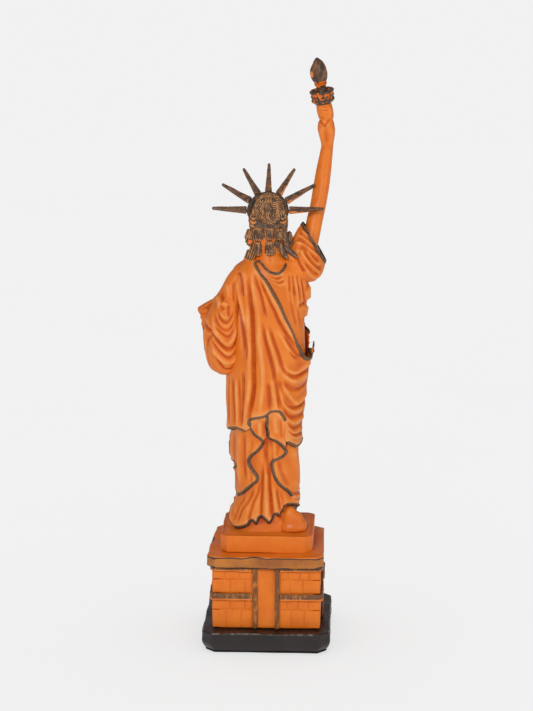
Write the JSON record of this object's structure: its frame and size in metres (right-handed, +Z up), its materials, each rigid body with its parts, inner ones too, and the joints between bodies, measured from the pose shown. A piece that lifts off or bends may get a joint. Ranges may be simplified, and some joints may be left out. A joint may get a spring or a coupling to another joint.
{
  "type": "miniature landmark statuette",
  "caption": "Souvenir statuette of a robed figure with a rayed crown, a raised torch and a blank tablet, on a stepped brick pedestal with a dark plinth.",
  "frame": {"origin": "middle of the underside of the felt pad, where the model stands", "axes": "+Z up through the torch, -Y the way the figure faces, +X towards the figure's left hand, which holds the tablet"},
  "size_m": [0.0884, 0.086, 0.3748],
  "materials": {
    "orange_resin": "satin hand-sprayed terracotta orange over cast resin",
    "bronze_accent": "hand-brushed dark bronze paint with gold dry brushing",
    "umber_cornice": "thin umber wash over orange",
    "black_plinth": "satin brown-black lacquer",
    "dark_felt": "matt felt pad",
    "steel": "plain drawn rod"
  },
  "bodies": {
    "root": {"base_felt": "dark_felt", "base_plinth": "black_plinth", "pedestal_block": "orange_resin", "cornice_slab": "umber_cornice", "top_step": "orange_resin", "pilaster_back_a": "bronze_accent", "pilaster_back_b": "bronze_accent", "pilaster_left_a": "bronze_accent", "pilaster_left_b": "bronze_accent", "pilaster_front_a": "bronze_accent", "pilaster_front_b": "bronze_accent", "pilaster_right_a": "bronze_accent", "pilaster_right_b": "bronze_accent", "belt_rail_back_left": "bronze_accent", "top_rail_back_left": "bronze_accent", "belt_rail_front_left": "bronze_accent", "top_rail_front_left": "bronze_accent", "belt_rail_front_right": "bronze_accent", "top_rail_front_right": "bronze_accent", "belt_rail_back_right": "bronze_accent", "top_rail_back_right": "bronze_accent", "over_robe": "orange_resin", "left_sleeve": "orange_resin", "tablet": "orange_resin", "left_hand": "orange_resin", "figure_dowel": "steel", "shoulder_pin": "steel", "right_sleeve": "orange_resin", "right_arm": "orange_resin", "torch_handle": "orange_resin", "torch_gallery": "bronze_accent", "torch_cup": "bronze_accent", "torch_flame": "bronze_accent", "right_hand": "orange_resin", "crown_band": "bronze_accent", "crown_ray_1": "bronze_accent", "crown_ray_2": "bronze_accent", "crown_ray_3": "bronze_accent", "crown_ray_4": "bronze_accent", "crown_ray_5": "bronze_accent", "crown_ray_6": "bronze_accent", "crown_ray_7": "bronze_accent", "hair_cap": "bronze_accent", "nape_curls": "bronze_accent", "left_lock": "bronze_accent", "right_lock": "bronze_accent", "head": "orange_resin", "neck": "orange_resin", "under_robe": "orange_resin", "right_foot": "orange_resin", "left_foot": "orange_resin"}
  },
  "joints": []
}
